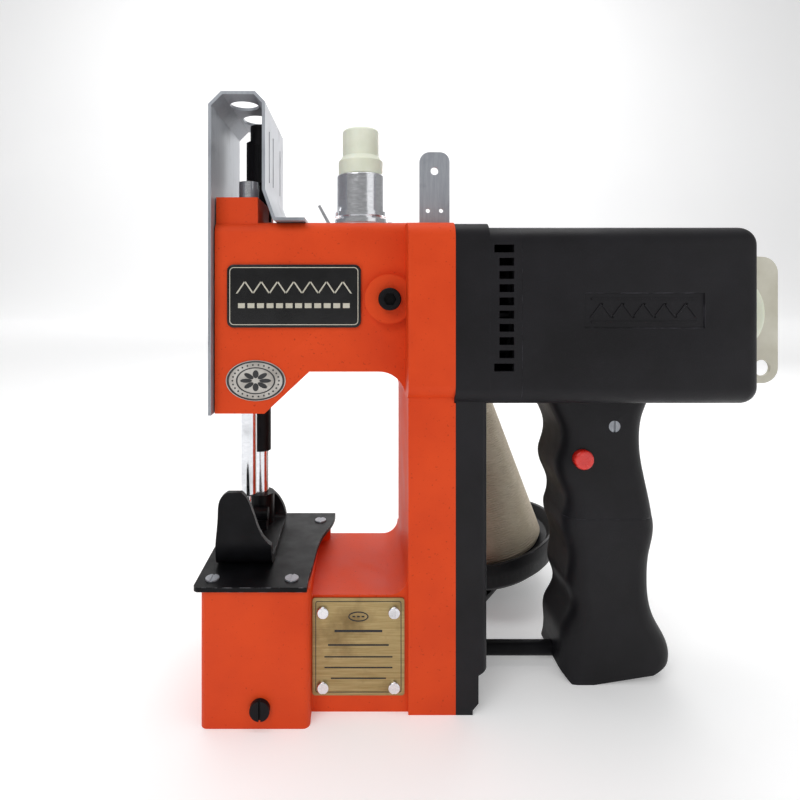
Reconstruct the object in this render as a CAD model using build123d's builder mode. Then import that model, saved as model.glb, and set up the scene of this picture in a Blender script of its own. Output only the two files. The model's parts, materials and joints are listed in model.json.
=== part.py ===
from build123d import *
import math
import os

# Hand-held bag closer: a C-shaped casting carries the needle on its left end and a
# universal motor with a pistol grip on its right end.
# X runs from the needle towards the motor, Y from the operator's side to the back, Z up.
# Origin: on the base face, under the needle bar, in the middle plane of head and motor.

os.makedirs("parts", exist_ok=True)

# ---------------------------------------------------------------- driving dimensions (mm)
# Head of the casting
HEAD_X = (-12.0, 80.0)
HEAD_HALF = 26.0
HEAD_BOTTOM = 128.0
THROAT_TOP = 147.0
HEAD_TOP = 215.0
BLOCK_X = (-12.0, 7.0)
BLOCK_TOP = 226.4
# Column behind the throat
COLUMN_X = (74.6, 95.1)
COLUMN_Y = (-37.0, 20.0)
UPPER_HALF = 41.0
UPPER_Z = (136.7, 213.5)
# Arm and looper box below the throat
ARM_Y = (-35.0, 26.0)
ARM_TOP = 51.0
BOX_X = (-13.5, 32.6)
BOX_Y = (-44.5, 30.0)
BOX_TOP = 58.0
PLATE_T = 2.0
# Needle and presser bars
NEEDLE_Y = -8.0
NEEDLE_R = 3.75
STROKE = 24.0
PRESSER_X = 2.4
PRESSER_Y = 12.0
PRESSER_R = 4.0
# Shafts
MOTOR_Z = 172.9
GEAR_MODULE = 0.6
PINION_TEETH = 12
GEAR_TEETH = 48
MAIN_Z = MOTOR_Z + GEAR_MODULE * (PINION_TEETH + GEAR_TEETH) / 2
LOWER_Z = 28.0
SHAFT_R = 4.0
RUN = 0.05
PULLEY_R = 9.7
PULLEY_X = (83.0, 90.0)
# Covers and motor housing
COVER_X = (95.1, 109.0)
SHROUD_X = (109.0, 122.7)
HOUSING_X = (122.7, 225.7)
HOUSING_HALF_Y = 41.0
HOUSING_HALF_Z = 38.5
WALL = 3.0
# Pistol grip
GRIP_HALF = 19.0
GRIP_SPLIT = 77.0
# Thread cone
CONE_X = 133.2
CONE_Y = 80.0
CONE_Z = 27.0
CONE_R = 36.6
CONE_TOP_R = 23.0
CONE_H = 105.0
CONE_LEAN = 13.0
# Tension post
TENSION_X = 54.2
TENSION_Y = -5.0


# ---------------------------------------------------------------- small helpers
def block(x_span, y_span, z_span, mode=Mode.ADD):
    """A rectangular block between pairs of limits, in the part being built."""
    spans = (x_span, y_span, z_span)
    with Locations(tuple((low + high) / 2 for low, high in spans)):
        Box(*(high - low for low, high in spans), mode=mode)


def rod(direction, span, centre, radius, mode=Mode.ADD):
    """A round bar along X, Y or Z; centre holds the other two coordinates in order."""
    middle = (span[0] + span[1]) / 2
    places = {
        "X": (middle, *centre),
        "Y": (centre[0], middle, centre[1]),
        "Z": (*centre, middle),
    }
    turns = {"X": (0, 90, 0), "Y": (90, 0, 0), "Z": (0, 0, 0)}
    with Locations(places[direction]):
        Cylinder(radius, span[1] - span[0], rotation=turns[direction], mode=mode)


def slotted_screw(direction, seat, out, centre, head, shank):
    """A slotted screw: seat is under the head, out (+1 or -1) is the way the head faces.

    head and shank each hold a radius and a length.
    """
    top = seat + out * head[1]
    rod(direction, sorted((seat, top)), centre, head[0])
    rod(direction, sorted((seat, seat - out * shank[1])), centre, shank[0])
    slot = sorted((top, top - out * head[1] * 0.5))
    first = (centre[0] - 0.45, centre[0] + 0.45)
    second = (centre[1] - head[0], centre[1] + head[0])
    spans = {"X": (slot, first, second), "Y": (first, slot, second), "Z": (first, second, slot)}
    block(*spans[direction], mode=Mode.SUBTRACT)


# ---------------------------------------------------------------- main casting
# Screw places that the casting shares with the pieces fastened to it
THROAT_SCREWS = ((-9.7, -38.8), (24.4, -38.8), (32.8, 20.9), (-9.7, 26.0))
BASE_SCREWS = ((-9.3, -39.5), (26.2, -39.5), (-9.3, 25.0), (26.2, 25.0))
PLATE_RIVETS = ((37.5, 11.4), (68.5, 11.4), (37.5, 43.9), (68.5, 43.9))
CLAMP_SCREW = (66.8, 180.0)
BOX_SCREW = (11.8, 8.8)
COVER_SCREWS = ((-31.0, 146.0), (31.0, 146.0), (-31.0, 202.0), (31.0, 202.0))
GUARD_SIDE_SCREWS = (-21.5, 21.5)
LIFTER_AT = (10.0, 156.0)
LOOPER_PIVOT = (13.0, 37.0)

with BuildPart() as frame_casting:
    # Head: stepped underside, with the throat corner as an arc into the column
    with BuildSketch(Plane.XZ):
        with BuildLine():
            Polyline(
                (62.3, THROAT_TOP),
                (30.8, THROAT_TOP),
                (10.5, HEAD_BOTTOM),
                (HEAD_X[0], HEAD_BOTTOM),
                (HEAD_X[0], HEAD_TOP),
                (HEAD_X[1], HEAD_TOP),
                (HEAD_X[1], THROAT_TOP - 12.3),
                (74.6, THROAT_TOP - 12.3),
            )
            CenterArc((62.3, THROAT_TOP - 12.3), 12.3, 0, 90)
        make_face()
    extrude(amount=HEAD_HALF, both=True)
    top_rims = frame_casting.edges().filter_by(Axis.X).group_by(Axis.Z)[-1]
    fillet(top_rims, radius=5)
    block(BLOCK_X, (-23.5, 23.5), (HEAD_TOP - 8, BLOCK_TOP))
    # Upper end of the column, as wide as the motor
    block((74.3, 94.4), (-UPPER_HALF, UPPER_HALF), UPPER_Z)
    wide_rims = frame_casting.edges().filter_by(Axis.X).filter_by(
        lambda edge: abs(abs(edge.center().Y) - UPPER_HALF) < 0.1
    )
    fillet(wide_rims, radius=7)
    # Lower column, arm and looper box
    block(COLUMN_X, COLUMN_Y, (0, 135))
    block((COLUMN_X[0], 94.4), COLUMN_Y, (135, 142))
    with BuildSketch(Plane.XZ.offset(-ARM_Y[0])):
        with BuildLine():
            Polyline(
                (66.6, ARM_TOP),
                (BOX_X[1] - 6, ARM_TOP),
                (BOX_X[1] - 6, 0),
                (84, 0),
                (84, ARM_TOP + 8),
                (74.6, ARM_TOP + 8),
            )
            CenterArc((66.6, ARM_TOP + 8), 8, -90, 90)
        make_face()
    extrude(amount=-(ARM_Y[1] - ARM_Y[0]))
    block(BOX_X, BOX_Y, (0, BOX_TOP))
    box_corners = frame_casting.edges().filter_by(Axis.Z).filter_by(
        lambda edge: edge.center().Y < BOX_Y[0] + 0.1 or edge.center().Y > BOX_Y[1] - 0.1
        and edge.center().Z < BOX_TOP
    )
    fillet(box_corners, radius=3)
    rod("Z", (44, BOX_TOP), THROAT_SCREWS[2], 5.5)
    # Round boss with the clamp screw on the operator's side
    rod("Y", (-30.0, -HEAD_HALF), CLAMP_SCREW, 11)
    # Needle chamber, open on the left; and the core behind its shaft web
    block((HEAD_X[0] - 1, 16.6), (-18, 18), (150, 209), mode=Mode.SUBTRACT)
    block((30, 58), (-13, 13), (174, 208), mode=Mode.SUBTRACT)
    # Belt chamber in the column, open towards the belt cover
    block((79, 96), (-30, 15), (8, 150), mode=Mode.SUBTRACT)
    block((79, 96), (-24, 24), (143, 207), mode=Mode.SUBTRACT)
    # Looper chamber through the box, recess of the base cover, core inside the arm
    block((-7, 22), (-37, 23), (-1, BOX_TOP + 1), mode=Mode.SUBTRACT)
    block((-12, 29), (-42.8, 28.3), (-1, 2.5), mode=Mode.SUBTRACT)
    block((36, 64), (-14, 14), (8, 44), mode=Mode.SUBTRACT)
    # Bores for bushes, bars and the lifter pivot
    rod("X", (10, 90), (0, MAIN_Z), 7, mode=Mode.SUBTRACT)
    rod("X", (10, 90), (0, LOWER_Z), 7, mode=Mode.SUBTRACT)
    rod("X", (20, 35), LOOPER_PIVOT, 3 + RUN, mode=Mode.SUBTRACT)
    rod("Z", (120, 240), (0, NEEDLE_Y), 5.5, mode=Mode.SUBTRACT)
    rod("Z", (120, 240), (PRESSER_X, PRESSER_Y), 5.5, mode=Mode.SUBTRACT)
    rod("Y", (10, 27), LIFTER_AT, 3 + RUN, mode=Mode.SUBTRACT)
    # Threaded holes
    for x, y in THROAT_SCREWS:
        rod("Z", (BOX_TOP - 10, BOX_TOP + 1), (x, y), 1.6, mode=Mode.SUBTRACT)
    for x, y in BASE_SCREWS:
        rod("Z", (0, 10), (x, y), 1.3, mode=Mode.SUBTRACT)
    for x, z in PLATE_RIVETS:
        rod("Y", (-36, -30), (x, z), 1.2, mode=Mode.SUBTRACT)
    rod("Y", (-31, -14), CLAMP_SCREW, 3, mode=Mode.SUBTRACT)
    rod("Y", (-45, -36.5), BOX_SCREW, 2.5, mode=Mode.SUBTRACT)
    for y, z in COVER_SCREWS:
        rod("X", (82, 95), (y, z), 1.6, mode=Mode.SUBTRACT)
    for y in GUARD_SIDE_SCREWS:
        rod("X", (-13, -4), (y, 160), 1.6, mode=Mode.SUBTRACT)
    rod("Z", (206, 216), (20, 5), 1.6, mode=Mode.SUBTRACT)
    rod("Z", (206, 216), (TENSION_X, TENSION_Y), 3, mode=Mode.SUBTRACT)
    rod("Z", (206, 214), (87.6, -18.5), 1.6, mode=Mode.SUBTRACT)
frame_casting.part.label = "frame_casting"
export_step(frame_casting.part, "parts/frame_casting.step")

# ---------------------------------------------------------------- plates and covers of the casting
PLATE_BOTTOM = BOX_TOP
PLATE_HIGH = BOX_TOP + PLATE_T
FEED_SLOTS = (-5.0, 5.0)

with BuildPart() as throat_plate:
    with BuildSketch(Plane.XY.offset(PLATE_BOTTOM)) as plate_outline:
        with BuildLine():
            Polyline((31.5, -38), (31.5, -46), (-16.3, -46), (-16.3, 31), (40.4, 31))
            Spline((31.5, -38), (32.9, -18), (35.4, 4), (38.8, 16), (40.4, 31))
        make_face()
        fillet(plate_outline.vertices().group_by(Axis.X)[0], radius=2.5)
        with Locations((0, NEEDLE_Y)):
            Circle(2.4, mode=Mode.SUBTRACT)
        with Locations(*((x, 8) for x in FEED_SLOTS)):
            SlotOverall(22, 2.8, rotation=90, mode=Mode.SUBTRACT)
        with Locations(*THROAT_SCREWS):
            Circle(2.1, mode=Mode.SUBTRACT)
    extrude(amount=PLATE_T)
throat_plate.part.label = "throat_plate"
export_step(throat_plate.part, "parts/throat_plate.step")

with BuildPart() as base_cover:
    block((-12, 29), (-42.8, 28.3), (0, 2.5))
    for x, y in BASE_SCREWS:
        rod("Z", (-1, 3), (x, y), 1.3, mode=Mode.SUBTRACT)
        rod("Z", (-1, 1.2), (x, y), 2.7, mode=Mode.SUBTRACT)
base_cover.part.label = "base_cover"
export_step(base_cover.part, "parts/base_cover.step")

with BuildPart() as name_plate:
    with BuildSketch(Plane.XZ.offset(-ARM_Y[0])):
        with Locations((53, 28.85)):
            RectangleRounded(40, 42.3, 1.2)
        with Locations(*PLATE_RIVETS):
            Circle(1.2, mode=Mode.SUBTRACT)
    extrude(amount=0.8)
name_plate.part.label = "name_plate"
export_step(name_plate.part, "parts/name_plate.step")

with BuildPart() as name_plate_screws:
    for x, z in PLATE_RIVETS:
        slotted_screw("Y", ARM_Y[0] - 0.8, -1, (x, z), (2.6, 1.3), (1.2, 4))
    fillet(name_plate_screws.edges().filter_by(GeomType.CIRCLE).group_by(Axis.Y)[0], 0.5)
name_plate_screws.part.label = "name_plate_screws"
export_step(name_plate_screws.part, "parts/name_plate_screws.step")

with BuildPart() as label_plate:
    with BuildSketch(Plane.XZ.offset(HEAD_HALF)):
        with Locations((23.95, 181.25)):
            RectangleRounded(60.5, 28.5, 3)
    extrude(amount=1.2)
    fillet(label_plate.edges().group_by(Axis.Y)[0], 0.4)
label_plate.part.label = "label_plate"
export_step(label_plate.part, "parts/label_plate.step")

with BuildPart() as oval_badge:
    with BuildSketch(Plane.XZ.offset(HEAD_HALF)):
        with Locations((6.6, 143)):
            Ellipse(13.5, 9.2)
    extrude(amount=0.5)
oval_badge.part.label = "oval_badge"
export_step(oval_badge.part, "parts/oval_badge.step")

with BuildPart() as black_screws:
    rod("Y", (-34.5, -30), CLAMP_SCREW, 5)
    fillet(black_screws.edges().group_by(Axis.Y)[0], 0.6)
    with BuildSketch(Plane.XZ.offset(34.5)):
        with Locations(CLAMP_SCREW):
            RegularPolygon(radius=2.9, side_count=6)
    extrude(amount=-3, mode=Mode.SUBTRACT)
    rod("Y", (-30, -15), CLAMP_SCREW, 3)
    slotted_screw("Y", BOX_Y[0], -1, BOX_SCREW, (4.2, 2.2), (2.5, 7))
black_screws.part.label = "black_screws"
export_step(black_screws.part, "parts/black_screws.step")

# Folded sheet over the left end of the head: open at the front and at the back
SHEET = 1.4
GUARD_HALF = 30.0
with BuildPart() as face_cover:
    with BuildSketch(Plane.XZ):
        with BuildLine():
            Polyline(
                (-14, 128),
                (-14, 267),
                (-8.3, 272.7),
                (6.9, 272.7),
                (11.4, 268.0),
                (11.4, 229),
                (15.9, HEAD_TOP + SHEET),
                (29, HEAD_TOP + SHEET),
            )
            offset(amount=SHEET, side=Side.RIGHT)
        make_face()
    extrude(amount=GUARD_HALF, both=True)
    with BuildSketch(Plane.XY.offset(280)):
        with Locations((-1, -13.5)):
            Circle(6.7)
        with Locations((1.6, 10)):
            SlotOverall(18.5, 15, rotation=90)
    extrude(amount=-18, mode=Mode.SUBTRACT)
    with Locations((20, 5, HEAD_TOP)):
        Cylinder(1.6, 8, mode=Mode.SUBTRACT)
    for y in GUARD_SIDE_SCREWS:
        rod("X", (-15, -12), (y, 160), 1.6, mode=Mode.SUBTRACT)
    for y in (-18, -6, 18):
        block((8, 16), (y - 1, y + 1), (234, 258), mode=Mode.SUBTRACT)
face_cover.part.label = "face_cover"
export_step(face_cover.part, "parts/face_cover.step")

# ---------------------------------------------------------------- black covers and motor housing
with BuildPart() as belt_cover:
    with BuildSketch(Plane.YZ.offset(94.4)):
        with Locations((0, 174)):
            RectangleRounded(2 * UPPER_HALF, 78, 7)
    extrude(amount=COVER_X[1] - 94.4)
    with BuildSketch(Plane.XY) as lower_section:
        with Locations((sum(COVER_X) / 2, sum(COLUMN_Y) / 2)):
            Rectangle(COVER_X[1] - COVER_X[0], COLUMN_Y[1] - COLUMN_Y[0])
        fillet(lower_section.vertices().group_by(Axis.X)[-1], 3)
    extrude(amount=140)
    with BuildSketch(Plane.XZ.offset(50)):
        with BuildLine():
            Polyline((110, -1), (102.5, -1), (102.5, 2), (105, 5), (105, 17), (110, 20), close=True)
        make_face()
    extrude(amount=-100, mode=Mode.SUBTRACT)
    block((90, 105.5), (-33, 15), (20, 142), mode=Mode.SUBTRACT)
    block((90, 104), (-22, 22), (138, 208), mode=Mode.SUBTRACT)
    rod("X", (104, 110), (0, MOTOR_Z), 13)
    rod("X", (103, 111), (0, MOTOR_Z), 9.5, mode=Mode.SUBTRACT)
    rod("X", (99, 106), (0, 5.4), 3.5, mode=Mode.SUBTRACT)
    for y, z in COVER_SCREWS:
        rod("X", (94, 112), (y, z), 1.6, mode=Mode.SUBTRACT)
belt_cover.part.label = "belt_cover"
export_step(belt_cover.part, "parts/belt_cover.step")

SLOT_PITCH = 5.63
SLOT_COUNT = 10
with BuildPart() as fan_shroud:
    with BuildSketch(Plane.YZ.offset(SHROUD_X[0])):
        with Locations((0, MOTOR_Z)):
            RectangleRounded(2 * HOUSING_HALF_Y, 2 * HOUSING_HALF_Z, 8)
            RectangleRounded(2 * (HOUSING_HALF_Y - WALL), 2 * (HOUSING_HALF_Z - WALL), 5, mode=Mode.SUBTRACT)
    extrude(amount=SHROUD_X[1] - SHROUD_X[0])
    for row in range(SLOT_COUNT):
        z = 151 + row * SLOT_PITCH
        start = 110.8 if row in (0, SLOT_COUNT - 1) else 113.0
        block((start, 119.3), (-50, 50), (z - 1.7, z + 1.7), mode=Mode.SUBTRACT)
fan_shroud.part.label = "fan_shroud"
export_step(fan_shroud.part, "parts/fan_shroud.step")

# Side curves of the grip as (X, Z) points from the split outwards: finger side and palm side
UPPER_FRONT = (
    (150, GRIP_SPLIT),
    (151.2, 81.3),
    (151, 87.2),
    (147.8, 95.1),
    (146.8, 102),
    (148.7, 108.9),
    (149.1, 117.8),
    (146.5, 124.5),
    (143.5, 131),
    (141, 141),
)
UPPER_REAR = (
    (192.8, GRIP_SPLIT),
    (191.4, 84.9),
    (189, 96),
    (187.2, 106.2),
    (186.9, 117.3),
    (188.1, 124.7),
    (190, 129.8),
    (192, 141),
)
LOWER_FRONT = (
    (150, GRIP_SPLIT),
    (150.2, 69.4),
    (152.2, 63.5),
    (152.7, 53.7),
    (151.9, 44.8),
    (154.2, 37.8),
    (154.2, 32.9),
    (149.9, 24),
    (149.6, 14),
    (148.6, 4),
)
LOWER_REAR = (
    (192.8, GRIP_SPLIT),
    (193, 67.4),
    (191.2, 59),
    (190.4, 47.9),
    (190.9, 38.6),
    (194.2, 27.5),
    (199.2, 18.2),
    (200.4, 9.5),
)
LOWER_SOLE = ((152.6, 0), (162.7, 0), (190.4, 4.4))
GRIP_EDGE = 8.0
BUTTON_AT = (157.5, 105.3)
GRIP_SCREW = (172.4, 120.4)
BUTTON_R = 4.6


def grip_block(front, rear, end=()):
    """A length of the grip between two side curves of (X, Z) points, long edges rounded.

    end holds the corners between the last points of the two curves.
    """
    with BuildPart() as grip:
        with BuildSketch(Plane.XZ):
            with BuildLine():
                Spline(*front)
                Polyline(front[-1], *end, rear[-1])
                Spline(*rear)
                Polyline(rear[0], front[0])
            make_face()
        extrude(amount=GRIP_HALF, both=True)
        side_faces = grip.faces().filter_by(Axis.Y)
        fillet(side_faces.edges().filter_by(GeomType.BSPLINE), GRIP_EDGE)
    return grip.part


with BuildPart() as motor_housing:
    add(grip_block(UPPER_FRONT, UPPER_REAR))
    with BuildSketch(Plane.YZ.offset(HOUSING_X[0])):
        with Locations((0, MOTOR_Z)):
            RectangleRounded(2 * HOUSING_HALF_Y, 2 * HOUSING_HALF_Z, 8)
    extrude(amount=HOUSING_X[1] - HOUSING_X[0])
    fillet(motor_housing.faces().sort_by(Axis.X)[-1].edges(), 6.5)
    rod("X", (122, 206), (0, MOTOR_Z), 35, mode=Mode.SUBTRACT)
    rod("X", (205, 215), (0, MOTOR_Z), 9.5, mode=Mode.SUBTRACT)
    rod("X", (214, 226.5), (0, MOTOR_Z), 5.5, mode=Mode.SUBTRACT)
    # Radial air inlets in the rear wall
    with BuildSketch(Plane.YZ.offset(226.5)):
        with Locations((0, MOTOR_Z)):
            with PolarLocations(22.5, 8, start_angle=22.5):
                SlotOverall(13, 4)
    extrude(amount=-21.5, mode=Mode.SUBTRACT)
    block((154, 184), (-12, 12), (76, 150), mode=Mode.SUBTRACT)
    block((149.3, 200.4), (-42, -40.4), (167.8, 182.7), mode=Mode.SUBTRACT)
    rod("Y", (-20, -11), BUTTON_AT, BUTTON_R + RUN, mode=Mode.SUBTRACT)
    rod("Y", (-20, -11), GRIP_SCREW, 1.6, mode=Mode.SUBTRACT)
    rod("Y", (-20, -17.5), GRIP_SCREW, 2.7, mode=Mode.SUBTRACT)
    for z in (160, 190):
        rod("X", (215, 227), (29, z), 1.6, mode=Mode.SUBTRACT)
motor_housing.part.label = "motor_housing"
export_step(motor_housing.part, "parts/motor_housing.step")

with BuildPart() as handle_lower:
    add(grip_block(LOWER_FRONT, LOWER_REAR, LOWER_SOLE))
    block((157, 184), (-12, 12), (14, 78), mode=Mode.SUBTRACT)
    rod("X", (140, 154), (0, 5.4), 3.5, mode=Mode.SUBTRACT)
    rod("Z", (-1, 15), (166, 0), 6, mode=Mode.SUBTRACT)
handle_lower.part.label = "handle_lower"
export_step(handle_lower.part, "parts/handle_lower.step")

with BuildPart() as cable_gland:
    rod("Z", (2, 12), (166, 0), 6)
    rod("Z", (1, 13), (166, 0), 3.6, mode=Mode.SUBTRACT)
cable_gland.part.label = "cable_gland"
export_step(cable_gland.part, "parts/cable_gland.step")

with BuildPart() as brace_rod:
    rod("X", (99, 154), (0, 5.4), 3.5)
brace_rod.part.label = "brace_rod"
export_step(brace_rod.part, "parts/brace_rod.step")

HANG_HOLE = (269.7, 142.2)
HANG_HOLE_R = 4.3
HANGER_Y = 22.0
with BuildPart() as hanger_plate:
    with BuildSketch(Plane.XZ.offset(-HANGER_Y)) as hanger_outline:
        with BuildLine():
            Polyline((225.7, 145), (260.7, 134), (278.3, 134), (278.3, 201.5), (225.7, 204), close=True)
        make_face()
        fillet(hanger_outline.vertices().group_by(Axis.X)[-1], 8.6)
        with Locations(HANG_HOLE):
            Circle(HANG_HOLE_R, mode=Mode.SUBTRACT)
    extrude(amount=2)
    block((225.7, 227.7), (20, 36), (150, 200))
    for z in (160, 190):
        rod("X", (225, 229), (29, z), 1.6, mode=Mode.SUBTRACT)
hanger_plate.part.label = "hanger_plate"
export_step(hanger_plate.part, "parts/hanger_plate.step")

# ---------------------------------------------------------------- bushes, bearings and motor
with BuildPart() as shaft_bushes:
    for x_span in ((16.6, 28), (64, 79)):
        rod("X", x_span, (0, MAIN_Z), 7)
        rod("X", x_span, (0, MAIN_Z), SHAFT_R + RUN, mode=Mode.SUBTRACT)
    for x_span in ((22, 36), (64, 79)):
        rod("X", x_span, (0, LOWER_Z), 7)
        rod("X", x_span, (0, LOWER_Z), SHAFT_R + RUN, mode=Mode.SUBTRACT)
shaft_bushes.part.label = "shaft_bushes"
export_step(shaft_bushes.part, "parts/shaft_bushes.step")

with BuildPart() as needle_bar_bushes:
    rod("Z", (126, 150), (0, NEEDLE_Y), 5.5)
    rod("Z", (209, BLOCK_TOP), (0, NEEDLE_Y), 5.5)
    rod("Z", (BLOCK_TOP, 236), (0, NEEDLE_Y), 4.8)
    rod("Z", (120, 240), (0, NEEDLE_Y), NEEDLE_R + RUN, mode=Mode.SUBTRACT)
needle_bar_bushes.part.label = "needle_bar_bushes"
export_step(needle_bar_bushes.part, "parts/needle_bar_bushes.step")

PRESSER_AT = (PRESSER_X, PRESSER_Y)
with BuildPart() as presser_bar_bushes:
    rod("Z", (101, 128), PRESSER_AT, 5.1)
    rod("Z", (128, 150), PRESSER_AT, 5.5)
    rod("Z", (209, 230), PRESSER_AT, 5.5)
    rod("Z", (230, 238.5), PRESSER_AT, 4.6)
    rod("Z", (100, 240), PRESSER_AT, PRESSER_R + RUN, mode=Mode.SUBTRACT)
presser_bar_bushes.part.label = "presser_bar_bushes"
export_step(presser_bar_bushes.part, "parts/presser_bar_bushes.step")

BEARING_STARTS = (104.0, 206.0)
BEARING_W = 6.0
SPINDLE_R = 3.5
with BuildPart() as motor_bearings:
    for x in BEARING_STARTS:
        with BuildSketch(Plane.YZ.offset(x)):
            with Locations((0, MOTOR_Z)):
                Circle(9.5)
                Circle(SPINDLE_R + RUN, mode=Mode.SUBTRACT)
        extrude(amount=BEARING_W)
        for side in (x, x + BEARING_W):
            with BuildSketch(Plane.YZ.offset(side - 0.5)):
                with Locations((0, MOTOR_Z)):
                    Circle(8)
                    Circle(5.3, mode=Mode.SUBTRACT)
            extrude(amount=1, mode=Mode.SUBTRACT)
motor_bearings.part.label = "motor_bearings"
export_step(motor_bearings.part, "parts/motor_bearings.step")

STATOR_X = (139.0, 181.0)
with BuildPart() as stator_core:
    with BuildSketch(Plane.YZ.offset(STATOR_X[0])):
        with Locations((0, MOTOR_Z)):
            Circle(35)
            Circle(30.5, mode=Mode.SUBTRACT)
            Rectangle(26, 64)
            Circle(19.2, mode=Mode.SUBTRACT)
    extrude(amount=STATOR_X[1] - STATOR_X[0])
stator_core.part.label = "stator_core"
export_step(stator_core.part, "parts/stator_core.step")

with BuildPart() as field_coils:
    for side in (-1, 1):
        with BuildSketch(Plane.XY.offset(MOTOR_Z + side * 22.75 - 2.25)):
            with Locations((sum(STATOR_X) / 2, 0)):
                RectangleRounded(50, 34, 3)
                Rectangle(42, 26, mode=Mode.SUBTRACT)
        extrude(amount=4.5)
field_coils.part.label = "field_coils"
export_step(field_coils.part, "parts/field_coils.step")

BRUSH_X = (188.0, 196.0)
with BuildPart() as brush_holders:
    for side in (-1, 1):
        block(BRUSH_X, sorted((side * 12, side * 34.5)), (MOTOR_Z - 4, MOTOR_Z + 4))
        block((189, 195), sorted((side * 11, side * 32)), (MOTOR_Z - 3, MOTOR_Z + 3), mode=Mode.SUBTRACT)
brush_holders.part.label = "brush_holders"
export_step(brush_holders.part, "parts/brush_holders.step")

with BuildPart() as carbon_brushes:
    for side in (-1, 1):
        block((189, 195), sorted((side * 10.4, side * 24)), (MOTOR_Z - 3, MOTOR_Z + 3))
carbon_brushes.part.label = "carbon_brushes"
export_step(carbon_brushes.part, "parts/carbon_brushes.step")

with BuildPart() as switch_body:
    block((154, 174), (-10.5, 4), (94, 114))
    rod("Y", (-11, -10.5), BUTTON_AT, 2.5)
switch_body.part.label = "switch_body"
export_step(switch_body.part, "parts/switch_body.step")

# Round-ended loop between the two belt pulleys
BELT_INNER = 10.0
with BuildPart() as timing_belt:
    with BuildSketch(Plane.YZ.offset(83.4)):
        with Locations((0, (MAIN_Z + LOWER_Z) / 2)):
            SlotCenterToCenter(MAIN_Z - LOWER_Z, 2 * (BELT_INNER + 1.4), rotation=90)
            SlotCenterToCenter(MAIN_Z - LOWER_Z, 2 * BELT_INNER, rotation=90, mode=Mode.SUBTRACT)
    extrude(amount=6.2)
timing_belt.part.label = "timing_belt"
export_step(timing_belt.part, "parts/timing_belt.step")

# ---------------------------------------------------------------- turning parts
TOOTH_BASE = 1.1
TOOTH_H = 1.25
GEAR_X = 97.0
PINION_PITCH_R = GEAR_MODULE * PINION_TEETH / 2
GEAR_PITCH_R = GEAR_MODULE * GEAR_TEETH / 2

with BuildPart() as armature_shaft:
    rod("X", (103, 232), (0, MOTOR_Z), SPINDLE_R)
    # Pinion cut on the end of the shaft, with a gap between teeth facing straight up
    with BuildSketch(Plane.YZ.offset(GEAR_X)):
        with Locations((0, MOTOR_Z)):
            Circle(PINION_PITCH_R - 0.6)
            with PolarLocations(PINION_PITCH_R - 0.2, PINION_TEETH, start_angle=180 / PINION_TEETH):
                Trapezoid(TOOTH_BASE, TOOTH_H, 75, rotation=-90)
    extrude(amount=6)
armature_shaft.part.label = "armature_shaft"
export_step(armature_shaft.part, "parts/armature_shaft.step")

with BuildPart() as cooling_fan:
    with BuildSketch(Plane.YZ.offset(111.2)):
        with Locations((0, MOTOR_Z)):
            Circle(9)
            Circle(SPINDLE_R, mode=Mode.SUBTRACT)
    extrude(amount=10)
    with BuildSketch(Plane.YZ.offset(119.2)):
        with Locations((0, MOTOR_Z)):
            Circle(33)
            Circle(8.5, mode=Mode.SUBTRACT)
    extrude(amount=1.6)
    with BuildSketch(Plane.YZ.offset(112)):
        with Locations((0, MOTOR_Z)):
            with PolarLocations(21, 12):
                Rectangle(23.5, 1.6)
    extrude(amount=7.5)
cooling_fan.part.label = "cooling_fan"
export_step(cooling_fan.part, "parts/cooling_fan.step")

with BuildPart() as armature_core:
    with BuildSketch(Plane.YZ.offset(140)):
        with Locations((0, MOTOR_Z)):
            Circle(18.7)
            Circle(SPINDLE_R, mode=Mode.SUBTRACT)
            with PolarLocations(16.6, 12):
                Rectangle(6, 2.2, mode=Mode.SUBTRACT)
    extrude(amount=40)
armature_core.part.label = "armature_core"
export_step(armature_core.part, "parts/armature_core.step")

with BuildPart() as commutator:
    with BuildSketch(Plane.YZ.offset(184)):
        with Locations((0, MOTOR_Z)):
            Circle(10)
            Circle(SPINDLE_R, mode=Mode.SUBTRACT)
            with PolarLocations(10, 24):
                Rectangle(2, 0.4, mode=Mode.SUBTRACT)
    extrude(amount=15)
commutator.part.label = "commutator"
export_step(commutator.part, "parts/commutator.step")

# Crowned hand wheel on the motor spindle, turned by hand to set the needle
WHEEL_START = 227.2
WHEEL_TIP = 246.5
WHEEL_R = 17.0
with BuildPart() as handwheel:
    with BuildSketch(Plane.XZ):
        with BuildLine():
            Polyline(
                (WHEEL_TIP, MOTOR_Z),
                (WHEEL_START, MOTOR_Z),
                (WHEEL_START, MOTOR_Z + 13),
                (230.7, MOTOR_Z + 14),
                (231.7, MOTOR_Z + WHEEL_R),
                (242.6, MOTOR_Z + WHEEL_R),
            )
            Spline(
                (242.6, MOTOR_Z + WHEEL_R),
                (244.9, MOTOR_Z + WHEEL_R - 2.6),
                (WHEEL_TIP, MOTOR_Z),
                tangents=((1, 0), (0, -1)),
            )
        make_face()
    revolve(axis=Axis((0, 0, MOTOR_Z), (1, 0, 0)))
    rod("X", (226.5, 232), (0, MOTOR_Z), SPINDLE_R, mode=Mode.SUBTRACT)
handwheel.part.label = "handwheel"
export_step(handwheel.part, "parts/handwheel.step")

CRANK_X = (11.0, 16.2)
CRANK_R = 16.0
with BuildPart() as main_shaft:
    rod("X", (CRANK_X[0], 103.6), (0, MAIN_Z), SHAFT_R)
main_shaft.part.label = "main_shaft"
export_step(main_shaft.part, "parts/main_shaft.step")

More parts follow.
